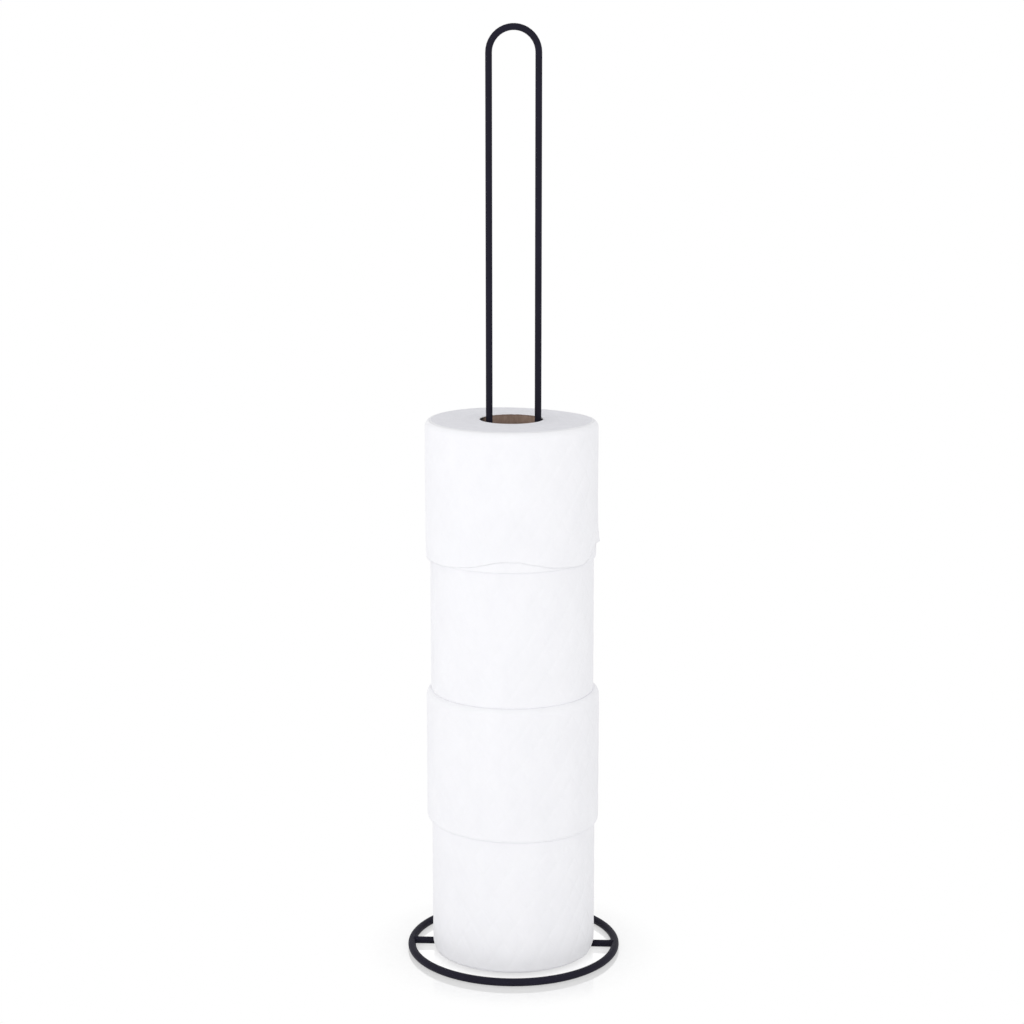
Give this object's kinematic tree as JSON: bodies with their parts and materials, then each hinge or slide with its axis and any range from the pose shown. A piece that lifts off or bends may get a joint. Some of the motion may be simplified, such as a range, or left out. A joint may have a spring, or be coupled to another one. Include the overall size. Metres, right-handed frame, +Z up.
{
  "type": "toilet paper holder",
  "caption": "Free-standing black wire stand: a flat foot ring with a crossbar carries a tall hairpin post over which toilet rolls stack; its round top is the hand loop.",
  "frame": {"origin": "on the floor, at the centre of the foot ring", "axes": "+Z up along the post, +X along the crossbar to the right as seen from the front, -Y to the front"},
  "size_m": [0.145, 0.145, 0.6219],
  "materials": {
    "coated_wire": "satin",
    "tissue_paper": "matte",
    "core_board": "matte"
  },
  "bodies": {
    "stand": {"base_ring": "coated_wire", "ring_seam_weld": "coated_wire", "crossbar": "coated_wire", "crossbar_welds": "coated_wire", "hairpin_post": "coated_wire", "post_welds": "coated_wire"},
    "roll_1": {"roll_1_paper": "tissue_paper", "roll_1_core": "core_board"},
    "roll_2": {"roll_2_paper": "tissue_paper", "roll_2_core": "core_board"},
    "roll_3": {"roll_3_paper": "tissue_paper", "roll_3_core": "core_board"},
    "roll_4": {"roll_4_paper": "tissue_paper", "roll_4_core": "core_board"}
  },
  "joints": [
    {"name": "roll_1_lift", "type": "slide", "parent": "stand", "child": "roll_1", "axis": [0, 0, 1], "range_m": [0, 0.62]},
    {"name": "roll_2_lift", "type": "slide", "parent": "roll_1", "child": "roll_2", "axis": [0, 0, 1], "range_m": [0, 0.54]},
    {"name": "roll_3_lift", "type": "slide", "parent": "roll_2", "child": "roll_3", "axis": [0, 0, 1], "range_m": [0, 0.44]},
    {"name": "roll_4_lift", "type": "slide", "parent": "roll_3", "child": "roll_4", "axis": [0, 0, 1], "range_m": [0, 0.355]}
  ]
}
